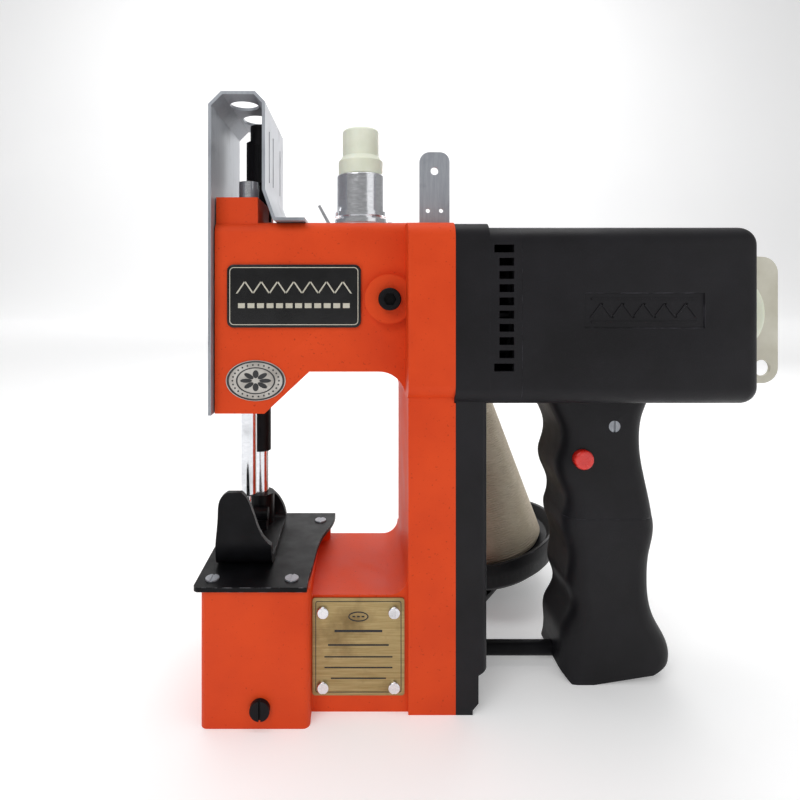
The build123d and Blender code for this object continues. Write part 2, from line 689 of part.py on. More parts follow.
with BuildPart() as main_gear:
    with BuildSketch(Plane.YZ.offset(GEAR_X)):
        with Locations((0, MAIN_Z)):
            Circle(GEAR_PITCH_R - 0.8)
            with PolarLocations(GEAR_PITCH_R - 0.2, GEAR_TEETH):
                Trapezoid(TOOTH_BASE, TOOTH_H, 75, rotation=-90)
            Circle(SHAFT_R, mode=Mode.SUBTRACT)
            with PolarLocations(9, 5):
                Circle(2.4, mode=Mode.SUBTRACT)
    extrude(amount=6)
main_gear.part.label = "main_gear"
export_step(main_gear.part, "parts/main_gear.step")

with BuildPart() as crank_disc:
    rod("X", CRANK_X, (0, MAIN_Z), CRANK_R)
    rod("X", (9, 17), (0, MAIN_Z), SHAFT_R, mode=Mode.SUBTRACT)
    for side in (-1, 1):
        rod("X", (9, 17), (side * 9, MAIN_Z + 7), 3, mode=Mode.SUBTRACT)
    rod("X", (9.4, CRANK_X[1]), (0, MAIN_Z - STROKE / 2), 2.4)
crank_disc.part.label = "crank_disc"
export_step(crank_disc.part, "parts/crank_disc.step")


def toothed_pulley(centre_z):
    """A flanged belt pulley round a horizontal shaft, in the part being built."""
    rod("X", PULLEY_X, (0, centre_z), PULLEY_R)
    rod("X", (PULLEY_X[0] - 1, PULLEY_X[0]), (0, centre_z), PULLEY_R + 2.3)
    rod("X", (PULLEY_X[1], PULLEY_X[1] + 1), (0, centre_z), PULLEY_R + 2.3)
    rod("X", (80, 93), (0, centre_z), SHAFT_R, mode=Mode.SUBTRACT)


with BuildPart() as upper_pulley:
    toothed_pulley(MAIN_Z)
upper_pulley.part.label = "upper_pulley"
export_step(upper_pulley.part, "parts/upper_pulley.step")

with BuildPart() as lower_pulley:
    toothed_pulley(LOWER_Z)
lower_pulley.part.label = "lower_pulley"
export_step(lower_pulley.part, "parts/lower_pulley.step")

with BuildPart() as lower_shaft:
    rod("X", (8, 92), (0, LOWER_Z), SHAFT_R)
    rod("X", (10, 15), (2.5, LOWER_Z), 7.5)
lower_shaft.part.label = "lower_shaft"
export_step(lower_shaft.part, "parts/lower_shaft.step")

# ---------------------------------------------------------------- needle, looper and feed
with BuildPart() as needle_bar:
    rod("Z", (85, 235.4), (0, NEEDLE_Y), NEEDLE_R)
    fillet(needle_bar.edges().group_by(Axis.Z)[-1], 0.8)
    rod("Z", (84, 97), (0, NEEDLE_Y), 1, mode=Mode.SUBTRACT)
    chamfer(needle_bar.edges().group_by(Axis.Z)[0].sort_by(SortBy.RADIUS)[-1], 0.8)
needle_bar.part.label = "needle_bar"
export_step(needle_bar.part, "parts/needle_bar.step")

with BuildPart() as needle_yoke:
    rod("Z", (173.9, 183.9), (0, NEEDLE_Y), 5.4)
    block((0, 9), (NEEDLE_Y - 4, NEEDLE_Y + 4), (173.9, 183.9))
    block((6.9, 9), (-16.5, 16.5), (173.9, 183.9))
    block((6.8, 10), (-14.4, 14.4), (176.1, 181.7), mode=Mode.SUBTRACT)
    rod("Z", (173, 184), (0, NEEDLE_Y), NEEDLE_R, mode=Mode.SUBTRACT)
needle_yoke.part.label = "needle_yoke"
export_step(needle_yoke.part, "parts/needle_yoke.step")

with BuildPart() as needle:
    rod("Z", (55, 97), (0, NEEDLE_Y), 1)
    with Locations((0, NEEDLE_Y, 51)):
        Cone(0.15, 1, 8)
    rod("X", (-2, 2), (NEEDLE_Y, 57), 0.4, mode=Mode.SUBTRACT)
needle.part.label = "needle"
export_step(needle.part, "parts/needle.step")

with BuildPart() as looper:
    rod("X", (16, 33), LOOPER_PIVOT, 3)
    rod("X", (16, 21), LOOPER_PIVOT, 6)
    with BuildSketch(Plane.YZ.offset(16)):
        with BuildLine():
            Polyline((17, 36), (9, 38), (2, 45), (2, 50), (6, 50), (17, 42), close=True)
        make_face()
    extrude(amount=4)
    block((2.4, 20), (2, 6), (46, 50))
    with BuildSketch(Plane.YZ.offset(2.4)):
        with BuildLine():
            Polyline((6, 46), (-8, 46.5), (-14, 49.2), (-8, 49.6), (6, 50), close=True)
        make_face()
    extrude(amount=1.6)
looper.part.label = "looper"
export_step(looper.part, "parts/looper.step")

FEED_Y = (-2.0, 12.0)
with BuildPart() as feed_dog:
    block((-6.4, 6.4), (-1, 14), (52.5, 57.2))
    block((-2, 2), (7, 12), (42, 53))
    for x in FEED_SLOTS:
        block((x - 1, x + 1), FEED_Y, (56, 59.1))
        for tooth in range(7):
            with BuildSketch(Plane.YZ.offset(x - 1)):
                with Locations((FEED_Y[0] + 1 + 2 * tooth, 59.1)):
                    Triangle(c=1.9, a=1.35, b=1.35, align=(Align.CENTER, Align.MIN))
            extrude(amount=2)
feed_dog.part.label = "feed_dog"
export_step(feed_dog.part, "parts/feed_dog.step")

# ---------------------------------------------------------------- presser
with BuildPart() as presser_bar:
    rod("Z", (74, 246), PRESSER_AT, PRESSER_R)
    rod("Z", (241, 243), PRESSER_AT, 5.4)
presser_bar.part.label = "presser_bar"
export_step(presser_bar.part, "parts/presser_bar.step")

# Sled-shaped foot: a tall tongue at the front and a low one at the back
SOLE_Z = 60.4
with BuildPart() as presser_foot:
    with BuildSketch(Plane.YZ.offset(-11)):
        with BuildLine():
            Polyline((-24, SOLE_Z), (16, SOLE_Z))
            Spline((16, SOLE_Z), (22, 64), (25, 76), tangents=((1, 0), (0.1, 1)))
            Polyline((25, 76), (22.4, 76.3))
            Spline((22.4, 76.3), (19.6, 66.5), (15, 63.4), tangents=((-0.1, -1), (-1, 0)))
            Polyline((15, 63.4), (-23, 63.4))
            Spline((-23, 63.4), (-27.6, 67), (-29.4, 94.5), tangents=((-1, 0), (-0.02, 1)))
            Polyline((-29.4, 94.5), (-32, 94.4))
            Spline((-32, 94.4), (-30.6, 65.6), (-24, SOLE_Z), tangents=((0.02, -1), (1, 0)))
        make_face()
    extrude(amount=25.5)
    # The front tongue narrows to a rounded top that leans to the left
    with BuildSketch(Plane.XZ.offset(20)):
        with BuildLine():
            Polyline((-20, 60), (-10.9, 60))
            Spline(
                (-10.9, 60),
                (-10.3, 70),
                (-9.2, 84),
                (-7.4, 92.6),
                (-0.5, 95.2),
                (5.9, 86.9),
                (11, 74.7),
                (15, 70.8),
            )
            Polyline((15, 70.8), (15, 60), (20, 60), (20, 97), (-20, 97), (-20, 60))
        make_face()
    extrude(amount=14, mode=Mode.SUBTRACT)
    # The back tongue is lower and narrows evenly
    with BuildSketch(Plane.XZ.offset(-19)):
        with BuildLine():
            Polyline((-20, 62), (-11, 62))
            Spline((-11, 62), (-5, 74), (-2, 76), (5, 76.3), (7.9, 74.6), (15, 61))
            Polyline((15, 61), (20, 61), (20, 97), (-20, 97), (-20, 62))
        make_face()
    extrude(amount=-8, mode=Mode.SUBTRACT)
    # Clamp round the presser bar, with its hinge lugs in front
    rod("Z", (62, 79), PRESSER_AT, 6.8)
    block((-2.2, 7.0), (1.5, 10), (62, 72))
    rod("X", (-2.8, 7.6), (3, 71), 3.2)
    rod("Z", (74, 80), PRESSER_AT, PRESSER_R, mode=Mode.SUBTRACT)
    with BuildSketch(Plane.XY.offset(59)):
        with Locations((0, NEEDLE_Y)):
            Circle(2.6)
        with Locations(*((x, 8) for x in FEED_SLOTS)):
            SlotOverall(21, 3, rotation=90)
    extrude(amount=2.2, mode=Mode.SUBTRACT)
    rod("Z", (59, 66), (0, NEEDLE_Y), 2.6, mode=Mode.SUBTRACT)
presser_foot.part.label = "presser_foot"
export_step(presser_foot.part, "parts/presser_foot.step")

with BuildPart() as presser_regulator:
    rod("Z", (238.8, 260), PRESSER_AT, 7.5)
    with BuildSketch(Plane.XY.offset(240)):
        with Locations(PRESSER_AT):
            with PolarLocations(7.7, 24):
                Circle(0.45)
    extrude(amount=18, mode=Mode.SUBTRACT)
    rod("Z", (260, 268.7), PRESSER_AT, 5.5)
    rod("Z", (238, 257), PRESSER_AT, 6.0, mode=Mode.SUBTRACT)
presser_regulator.part.label = "presser_regulator"
export_step(presser_regulator.part, "parts/presser_regulator.step")

with BuildPart() as presser_spring:
    with BuildLine() as presser_coil:
        Helix(pitch=2.4, height=12, radius=4.9, center=(PRESSER_X, PRESSER_Y, 243.8))
    with BuildSketch(Plane(origin=presser_coil.line @ 0, z_dir=presser_coil.line % 0)):
        Circle(0.6)
    sweep()
presser_spring.part.label = "presser_spring"
export_step(presser_spring.part, "parts/presser_spring.step")

with BuildPart() as lifter_lever:
    with BuildSketch(Plane.XZ.offset(-26.6)) as lever_outline:
        with BuildLine():
            Polyline(
                (7, 161),
                (4, 156),
                (7, 150.5),
                (30, 151),
                (48, 148.5),
                (55, 151),
                (54, 157),
                (34, 157),
                (13, 162),
                close=True,
            )
        make_face()
        fillet(lever_outline.vertices(), 1.5)
    extrude(amount=-3)
    rod("Y", (26.6, 31.6), LIFTER_AT, 6)
    rod("Y", (14, 27), LIFTER_AT, 3)
    block((47, 53.5), (29, 37), (149.8, 155))
lifter_lever.part.label = "lifter_lever"
export_step(lifter_lever.part, "parts/lifter_lever.step")

# ---------------------------------------------------------------- controls
with BuildPart() as power_button:
    rod("Y", (-21.5, -14.6), BUTTON_AT, BUTTON_R)
    fillet(power_button.edges().group_by(Axis.Y)[0], 1.2)
power_button.part.label = "power_button"
export_step(power_button.part, "parts/power_button.step")

# ---------------------------------------------------------------- thread tension and guide
TENSION_AT = (TENSION_X, TENSION_Y)
with BuildPart() as tension_plate:
    with BuildSketch(Plane.XY.offset(HEAD_TOP)):
        with BuildLine():
            Polyline((69, -13), (69, 3), (46, 5), (38.5, -1), (38.5, -9), (46, -14.5), close=True)
        make_face()
        with Locations(TENSION_AT):
            Circle(3, mode=Mode.SUBTRACT)
    extrude(amount=1.2)
    with BuildSketch(Plane.XZ.offset(9)):
        with BuildLine():
            Polyline((38.5, HEAD_TOP), (33.4, 224.6), (34.6, 225.2), (39.6, HEAD_TOP + 1.2), close=True)
        make_face()
    extrude(amount=-8)
    with Locations((36.4, -5, 221)):
        Cylinder(1.3, 12, rotation=(0, 62, 0), mode=Mode.SUBTRACT)
tension_plate.part.label = "tension_plate"
export_step(tension_plate.part, "parts/tension_plate.step")

with BuildPart() as tension_stud:
    rod("Z", (207, 258), TENSION_AT, 3)
tension_stud.part.label = "tension_stud"
export_step(tension_stud.part, "parts/tension_stud.step")

with BuildPart() as tension_collar:
    rod("Z", (HEAD_TOP + 1.2, 218), TENSION_AT, 13.2)
    rod("Z", (218, 219.6), TENSION_AT, 10.5)
    rod("Z", (219.6, 221.6), TENSION_AT, 12.7)
    rod("Z", (221.6, 239.6), TENSION_AT, 11.8)
    rod("Z", (224, 240), TENSION_AT, 9.8, mode=Mode.SUBTRACT)
    rod("Z", (215, 225), TENSION_AT, 3, mode=Mode.SUBTRACT)
    fillet(tension_collar.edges().group_by(Axis.Z)[-1].sort_by(SortBy.RADIUS)[-1], 0.7)
tension_collar.part.label = "tension_collar"
export_step(tension_collar.part, "parts/tension_collar.step")

with BuildPart() as tension_spring:
    with BuildLine() as tension_coil:
        Helix(pitch=3.5, height=12.5, radius=7, center=(TENSION_X, TENSION_Y, 225))
    with BuildSketch(Plane(origin=tension_coil.line @ 0, z_dir=tension_coil.line % 0)):
        Circle(0.7)
    sweep()
tension_spring.part.label = "tension_spring"
export_step(tension_spring.part, "parts/tension_spring.step")

with BuildPart() as tension_knob:
    rod("Z", (239.9, 246.5), TENSION_AT, 10.8)
    with Locations((TENSION_X, TENSION_Y, 247.75)):
        Cone(10.8, 8.85, 2.5)
    rod("Z", (249, 262), TENSION_AT, 8.85)
    fillet(tension_knob.edges().group_by(Axis.Z)[-1], 1.4)
    rod("Z", (239, 259), TENSION_AT, 3 + RUN, mode=Mode.SUBTRACT)
tension_knob.part.label = "tension_knob"
export_step(tension_knob.part, "parts/tension_knob.step")

GUIDE_X = 87.6
GUIDE_Y = -24.0
with BuildPart() as thread_guide_strip:
    with BuildSketch(Plane.XZ.offset(-GUIDE_Y)) as strip_outline:
        with BuildLine():
            Polyline(
                (GUIDE_X - 6.8, UPPER_Z[1]),
                (GUIDE_X - 6.8, 246.6),
                (GUIDE_X + 6.8, 246.6),
                (GUIDE_X + 6.8, UPPER_Z[1]),
                close=True,
            )
        make_face()
        fillet(strip_outline.vertices().group_by(Axis.Y)[-1], 4.5)
        with Locations((GUIDE_X, 238)):
            Circle(1.8, mode=Mode.SUBTRACT)
        with Locations((GUIDE_X - 3, 220), (GUIDE_X + 3, 220)):
            Circle(1.0, mode=Mode.SUBTRACT)
    extrude(amount=1.5)
    block((GUIDE_X - 6.8, GUIDE_X + 6.8), (GUIDE_Y - 1.5, -12), (UPPER_Z[1], UPPER_Z[1] + 1.5))
    rod("Z", (212, 216), (GUIDE_X, -18.5), 1.6, mode=Mode.SUBTRACT)
thread_guide_strip.part.label = "thread_guide_strip"
export_step(thread_guide_strip.part, "parts/thread_guide_strip.step")

# ---------------------------------------------------------------- thread cone and its stand
LEAN = math.radians(CONE_LEAN)
SPOOL = Plane(
    origin=(CONE_X, CONE_Y, CONE_Z),
    x_dir=(math.cos(LEAN), 0, math.sin(LEAN)),
    z_dir=(-math.sin(LEAN), 0, math.cos(LEAN)),
)

with BuildPart() as spool_tray:
    with BuildSketch(Plane(origin=SPOOL.origin, x_dir=SPOOL.x_dir, z_dir=-SPOOL.y_dir)):
        with BuildLine():
            Polyline(
                (3, -3),
                (39.5, -3),
                (44, 3),
                (46, 3),
                (46, -2),
                (42, -12),
                (35, -17),
                (31, -17),
                (38.5, -11),
                (41.5, -6),
                (10, -6),
                (10, -15),
                (3, -15),
                close=True,
            )
        make_face()
    revolve(axis=Axis(SPOOL.origin, SPOOL.z_dir))
spool_tray.part.label = "spool_tray"
export_step(spool_tray.part, "parts/spool_tray.step")

with BuildPart() as spool_pin:
    with BuildSketch(SPOOL.offset(-19)):
        Circle(3)
    extrude(amount=CONE_H + 13)
    fillet(spool_pin.edges().sort_by(Axis.Z)[-1], 1.5)
spool_pin.part.label = "spool_pin"
export_step(spool_pin.part, "parts/spool_pin.step")

with BuildPart() as spool_bracket:
    with BuildSketch(Plane.XY.offset(1)):
        with BuildLine():
            Polyline(
                (98, 20),
                (108, 20),
                (143, 68),
                (143, 84),
                (136, 90),
                (126, 86),
                (100, 36),
                (98, 30),
                close=True,
            )
        make_face()
    extrude(amount=3)
    block((98, 108), (20, 22.5), (1, 30))
    with BuildSketch(SPOOL.offset(-15)):
        Circle(8)
    extrude(amount=-14)
    split(bisect_by=Plane.XY.offset(1), keep=Keep.TOP)
    with BuildSketch(SPOOL.offset(-19)):
        Circle(3)
    extrude(amount=10, mode=Mode.SUBTRACT)
spool_bracket.part.label = "spool_bracket"
export_step(spool_bracket.part, "parts/spool_bracket.step")

CORE_R = (20.0, 9.0)
with BuildPart() as thread_cone:
    with BuildSketch(Plane(origin=SPOOL.origin, x_dir=SPOOL.x_dir, z_dir=-SPOOL.y_dir)):
        with BuildLine():
            Polyline(
                (CORE_R[0], -2.9),
                (CONE_R - 1, -2.9),
                (CONE_R, -1.5),
                (CONE_TOP_R + 1, CONE_H - 4),
                (CONE_TOP_R - 1.5, CONE_H - 2.4),
                (CORE_R[1], CONE_H - 2.4),
                close=True,
            )
        make_face()
    revolve(axis=Axis(SPOOL.origin, SPOOL.z_dir))
thread_cone.part.label = "thread_cone"
export_step(thread_cone.part, "parts/thread_cone.step")

with BuildPart() as cone_core:
    with BuildSketch(Plane(origin=SPOOL.origin, x_dir=SPOOL.x_dir, z_dir=-SPOOL.y_dir)):
        with BuildLine():
            Polyline(
                (CORE_R[0], -2.9),
                (CORE_R[1], CONE_H - 2.4),
                (CORE_R[1] - 0.4, CONE_H + 1),
                (CORE_R[1] - 2, CONE_H + 1),
                (CORE_R[0] - 1.6, -2.9),
                close=True,
            )
        make_face()
    revolve(axis=Axis(SPOOL.origin, SPOOL.z_dir))
cone_core.part.label = "cone_core"
export_step(cone_core.part, "parts/cone_core.step")

# ---------------------------------------------------------------- bright fastening screws
M4_HEAD = (3.1, 1.5)
M4_SHANK = (1.6, 7)
with BuildPart() as zinc_screws:
    for x, y in THROAT_SCREWS:
        slotted_screw("Z", PLATE_HIGH, 1, (x, y), (2.9, 0.6), M4_SHANK)
    for x, y in BASE_SCREWS:
        slotted_screw("Z", 1.2, -1, (x, y), (2.6, 1.2), (1.3, 7))
    for y, z in COVER_SCREWS:
        slotted_screw("X", COVER_X[1], 1, (y, z), M4_HEAD, (1.6, 24))
    for y in GUARD_SIDE_SCREWS:
        slotted_screw("X", -14, -1, (y, 160), M4_HEAD, M4_SHANK)
    for z in (160, 190):
        slotted_screw("X", 227.7, 1, (29, z), M4_HEAD, M4_SHANK)
    slotted_screw("Z", HEAD_TOP + SHEET, 1, (20, 5), M4_HEAD, M4_SHANK)
    slotted_screw("Z", UPPER_Z[1] + 1.5, 1, (GUIDE_X, -18.5), (2.6, 1.4), (1.6, 6))
    slotted_screw("Y", -17.5, -1, GRIP_SCREW, (2.7, 1.3), (1.6, 5))
zinc_screws.part.label = "zinc_screws"
export_step(zinc_screws.part, "parts/zinc_screws.step")
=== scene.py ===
import json
import math

import bmesh
import bpy
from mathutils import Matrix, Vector


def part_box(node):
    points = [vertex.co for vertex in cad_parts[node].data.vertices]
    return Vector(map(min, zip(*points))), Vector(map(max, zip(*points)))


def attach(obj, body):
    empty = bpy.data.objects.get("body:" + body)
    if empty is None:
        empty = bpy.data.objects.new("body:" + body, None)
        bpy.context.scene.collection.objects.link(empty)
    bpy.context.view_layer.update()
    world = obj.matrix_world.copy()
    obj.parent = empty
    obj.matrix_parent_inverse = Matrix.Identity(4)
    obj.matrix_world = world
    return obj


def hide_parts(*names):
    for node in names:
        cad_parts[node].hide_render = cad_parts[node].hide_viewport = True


# Bag closer sewing machine. Metres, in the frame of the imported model:
# X from the needle to the motor, Y from the operator to the back, Z up, floor at Z = 0.

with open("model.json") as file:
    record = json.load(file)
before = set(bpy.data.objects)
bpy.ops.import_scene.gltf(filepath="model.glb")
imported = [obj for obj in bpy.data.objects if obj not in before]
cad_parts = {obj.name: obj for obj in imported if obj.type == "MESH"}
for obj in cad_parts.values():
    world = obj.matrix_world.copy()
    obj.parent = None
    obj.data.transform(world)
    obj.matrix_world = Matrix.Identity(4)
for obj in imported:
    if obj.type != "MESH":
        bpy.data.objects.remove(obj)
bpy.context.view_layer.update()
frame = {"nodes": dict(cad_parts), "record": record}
scene = bpy.context.scene
MM = 0.001


# ---------------------------------------------------------------- camera, light and floor
def aim(obj, target):
    """Turns an object so that its -Z axis points at a place."""
    direction = Vector(target) - obj.location
    obj.rotation_euler = direction.to_track_quat("-Z", "Y").to_euler()


def make_camera():
    data = bpy.data.cameras.new("camera")
    camera = bpy.data.objects.new("camera", data)
    scene.collection.objects.link(camera)
    camera.location = (0.0523, -0.275, 0.184)
    camera.rotation_euler = (math.radians(90), 0, 0)
    data.lens = 24.75
    data.shift_x = 0.054
    data.shift_y = -0.1375
    data.clip_start = 0.01
    scene.camera = camera


MIDDLE = (0.13, 0, 0.14)
WORLD_LIGHT = 0.34
# Place, target, size in metres and power in watts of each soft box
LAMPS = {
    "key": ((-0.5, -0.95, 1.0), MIDDLE, (0.7, 0.7), 5.4),
    "fill": ((1.0, -0.8, 0.45), MIDDLE, (0.9, 0.9), 1.6),
    "top": ((0.12, 0.1, 1.1), MIDDLE, (1.0, 0.7), 5.6),
    "back": ((0.4, 1.1, 0.6), MIDDLE, (0.9, 0.6), 3.0),
    "wash": ((0.1, 2.2, 2.6), (0.1, 4.0, 0.8), (4.0, 1.0), 46.0),
}


def soft_box(name, place, target, size, power):
    data = bpy.data.lights.new(name, "AREA")
    data.shape = "RECTANGLE"
    data.size = size[0]
    data.size_y = size[1]
    data.energy = power
    lamp = bpy.data.objects.new(name, data)
    scene.collection.objects.link(lamp)
    lamp.location = place
    aim(lamp, target)


FLOOR_FRONT = -4.0
FLOOR_BACK = 3.0
FLOOR_HALF = 6.0
BACKDROP_BEND = 1.2
BACKDROP_TOP = 5.0


def make_floor():
    """A pale floor that curves up into a backdrop."""
    bm = bmesh.new()
    steps = 12
    profile = [(FLOOR_FRONT, 0.0), (FLOOR_BACK, 0.0)]
    for step in range(1, steps + 1):
        angle = math.radians(90 * step / steps)
        forward = BACKDROP_BEND * math.sin(angle)
        profile.append((FLOOR_BACK + forward, BACKDROP_BEND * (1 - math.cos(angle))))
    profile.append((FLOOR_BACK + BACKDROP_BEND, BACKDROP_TOP))
    rows = [[bm.verts.new((x, y, z)) for x in (-FLOOR_HALF, FLOOR_HALF)] for y, z in profile]
    for low, high in zip(rows, rows[1:]):
        bm.faces.new((low[0], low[1], high[1], high[0]))
    mesh = bpy.data.meshes.new("floor")
    bm.to_mesh(mesh)
    bm.free()
    mesh.shade_smooth()
    floor = bpy.data.objects.new("floor", mesh)
    scene.collection.objects.link(floor)
    floor.data.materials.append(stage_material())


def make_light():
    """An even grey-white world with soft boxes round the machine and one on the backdrop."""
    world = bpy.data.worlds.new("studio")
    world.use_nodes = True
    world.node_tree.nodes["Background"].inputs["Color"].default_value = (1, 1, 1, 1)
    world.node_tree.nodes["Background"].inputs["Strength"].default_value = WORLD_LIGHT
    scene.world = world
    for name, (place, target, size, power) in LAMPS.items():
        soft_box(name, place, target, size, power)
    scene.view_settings.view_transform = "Standard"


# ---------------------------------------------------------------- material helpers
def linear(red, green, blue):
    """An sRGB colour of 0 to 255 as the linear colour that a shader takes."""
    values = []
    for value in (red, green, blue):
        share = value / 255
        values.append(share / 12.92 if share <= 0.04045 else ((share + 0.055) / 1.055) ** 2.4)
    return (*values, 1)


class Surface:
    """A node material under construction, with object coordinates as its texture space."""

    def __init__(self, name):
        self.material = bpy.data.materials.new(name)
        self.material.use_nodes = True
        self.tree = self.material.node_tree
        self.shader = self.tree.nodes["Principled BSDF"]
        self.coords = self.tree.nodes.new("ShaderNodeTexCoord").outputs["Object"]
        self.height = None

    def link(self, source, target):
        self.tree.links.new(source, target)

    def put(self, socket, value):
        self.shader.inputs[socket].default_value = value

    def stretched(self, scale):
        """The texture space stretched by a factor on each axis."""
        mapping = self.tree.nodes.new("ShaderNodeMapping")
        mapping.inputs["Scale"].default_value = scale
        self.link(self.coords, mapping.inputs["Vector"])
        return mapping.outputs["Vector"]

    def noise(self, scale, detail=4, rough=0.55, coords=None):
        node = self.tree.nodes.new("ShaderNodeTexNoise")
        node.inputs["Scale"].default_value = scale
        node.inputs["Detail"].default_value = detail
        node.inputs["Roughness"].default_value = rough
        self.link(coords or self.coords, node.inputs["Vector"])
        return node.outputs["Fac"]

    def cells(self, scale, coords=None):
        node = self.tree.nodes.new("ShaderNodeTexVoronoi")
        node.inputs["Scale"].default_value = scale
        self.link(coords or self.coords, node.inputs["Vector"])
        return node.outputs["Distance"]

    def ramp(self, source, low, high, start=0.0, end=1.0):
        """Maps the stretch low to high of a value onto start to end."""
        node = self.tree.nodes.new("ShaderNodeMapRange")
        node.inputs["From Min"].default_value = low
        node.inputs["From Max"].default_value = high
        node.inputs["To Min"].default_value = start
        node.inputs["To Max"].default_value = end
        self.link(source, node.inputs["Value"])
        return node.outputs["Result"]

    def mix(self, factor, first, second):
        """Blends two colours, each a socket or a plain colour."""
        node = self.tree.nodes.new("ShaderNodeMix")
        node.data_type = "RGBA"
        self.link(factor, node.inputs["Factor"])
        for socket, value in ((node.inputs[6], first), (node.inputs[7], second)):
            if isinstance(value, tuple):
                socket.default_value = value
            else:
                self.link(value, socket)
        return node.outputs[2]

    def colour(self, source):
        self.link(source, self.shader.inputs["Base Color"])

    def rough(self, source):
        self.link(source, self.shader.inputs["Roughness"])

    def bump(self, source, depth, strength=1.0):
        """Adds a height to the surface relief; depth is in metres."""
        node = self.tree.nodes.new("ShaderNodeBump")
        node.inputs["Distance"].default_value = depth
        node.inputs["Strength"].default_value = strength
        self.link(source, node.inputs["Height"])
        if self.height is not None:
            self.link(self.height, node.inputs["Normal"])
        self.height = node.outputs["Normal"]
        self.link(self.height, self.shader.inputs["Normal"])


def stage_material():
    look = Surface("stage_white")
    look.colour(look.mix(look.noise(3), linear(250, 250, 250), linear(246, 246, 247)))
    look.put("Roughness", 0.9)
    look.put("Emission Color", (1, 1, 1, 1))
    look.put("Emission Strength", 0.22)
    return look.material


def orange_paint(worn=False):
    look = Surface("orange_paint" + "_edge" * worn)
    body = look.mix(look.ramp(look.noise(35, 3), 0.35, 0.65), linear(214, 66, 20), linear(224, 74, 26))
    speck = look.ramp(look.noise(900, 2), 0.66, 0.74)
    body = look.mix(speck, body, linear(190, 54, 16))
    if worn:
        body = look.mix(look.ramp(look.noise(240, 6), 0.5, 0.58), body, linear(236, 112, 66))
        body = look.mix(look.ramp(look.noise(420, 6), 0.63, 0.67), body, linear(150, 146, 142))
    look.colour(body)
    look.rough(look.ramp(look.noise(70, 5), 0.3, 0.7, 0.48, 0.62))
    look.bump(look.noise(700, 3), 0.00012, 0.3)
    look.bump(look.noise(90, 2), 0.0005, 0.12)
    look.put("Specular IOR Level", 0.2)
    return look.material


def black_plastic(worn=False):
    look = Surface("black_plastic" + "_edge" * worn)
    body = look.mix(look.ramp(look.noise(28, 4), 0.35, 0.65), linear(17, 16, 19), linear(26, 25, 29))
    if worn:
        body = look.mix(look.ramp(look.noise(160, 5), 0.46, 0.62), body, linear(62, 61, 67))
    look.colour(body)
    look.rough(look.ramp(look.noise(45, 5), 0.3, 0.7, 0.4, 0.56))
    look.bump(look.cells(1500), 0.00008, 0.4)
    look.bump(look.noise(2600, 2), 0.00006, 0.5)
    look.put("Specular IOR Level", 0.22)
    return look.material


def black_steel(worn=False):
    look = Surface("black_steel" + "_edge" * worn)
    body = look.mix(look.ramp(look.noise(60, 5), 0.35, 0.7), linear(10, 10, 12), linear(22, 22, 25))
    if worn:
        body = look.mix(look.ramp(look.noise(320, 6), 0.48, 0.6), body, linear(116, 116, 120))
    look.colour(body)
    look.rough(look.ramp(look.noise(140, 5), 0.3, 0.7, 0.34, 0.5))
    look.bump(look.noise(1400, 3), 0.00005, 0.5)
    look.put("Specular IOR Level", 0.12)
    return look.material


def plated(name, light, dark, low, high, grain, metallic=1.0):
    """A bright plated metal with fine scratches along one axis."""
    look = Surface(name)
    streaks = look.noise(1.0, 6, 0.7, look.stretched(grain))
    body = look.mix(look.ramp(streaks, 0.3, 0.7), dark, light)
    stain = look.ramp(look.noise(55, 6), 0.55, 0.75)
    look.colour(look.mix(stain, body, tuple(part * 0.72 for part in dark[:3]) + (1,)))
    look.rough(look.ramp(streaks, 0.3, 0.7, low, high))
    look.bump(streaks, 0.00004, 0.4)
    look.put("Metallic", metallic)
    return look.material


def zinc():
    return plated("zinc", linear(168, 172, 178), linear(146, 150, 157), 0.42, 0.56, (900, 900, 60), 0.4)


def chrome():
    return plated("chrome", linear(240, 241, 244), linear(216, 218, 222), 0.1, 0.24, (400, 400, 1500))


def steel():
    return plated("steel", linear(176, 177, 180), linear(138, 138, 142), 0.28, 0.45, (1200, 300, 300))


def bronze():
    return plated("bronze", linear(196, 160, 96), linear(150, 116, 62), 0.3, 0.45, (700, 700, 700))


def brass_plate():
    look = Surface("brass_plate")
    streaks = look.noise(1.0, 5, 0.65, look.stretched((60, 900, 1400)))
    body = look.mix(look.ramp(streaks, 0.3, 0.7), linear(150, 130, 84), linear(184, 164, 118))
    look.colour(look.mix(look.ramp(look.noise(70, 6), 0.5, 0.72), body, linear(128, 108, 70)))
    look.rough(look.ramp(streaks, 0.3, 0.7, 0.28, 0.42))
    look.bump(streaks, 0.00003, 0.5)
    look.put("Metallic", 0.75)
    return look.material


def gloss_black():
    look = Surface("gloss_black")
    look.colour(look.mix(look.ramp(look.noise(90, 5), 0.4, 0.7), linear(10, 10, 11), linear(20, 20, 22)))
    look.rough(look.ramp(look.noise(120, 6), 0.3, 0.7, 0.12, 0.24))
    look.bump(look.noise(500, 3), 0.00004, 0.3)
    return look.material


def badge_film():
    look = Surface("badge_film")
    mottle = look.ramp(look.noise(160, 6), 0.35, 0.65)
    look.colour(look.mix(mottle, linear(168, 163, 156), linear(204, 200, 194)))
    look.rough(look.ramp(look.noise(200, 4), 0.3, 0.7, 0.25, 0.4))
    look.bump(look.noise(800, 3), 0.00004, 0.4)
    look.put("Metallic", 0.5)
    return look.material


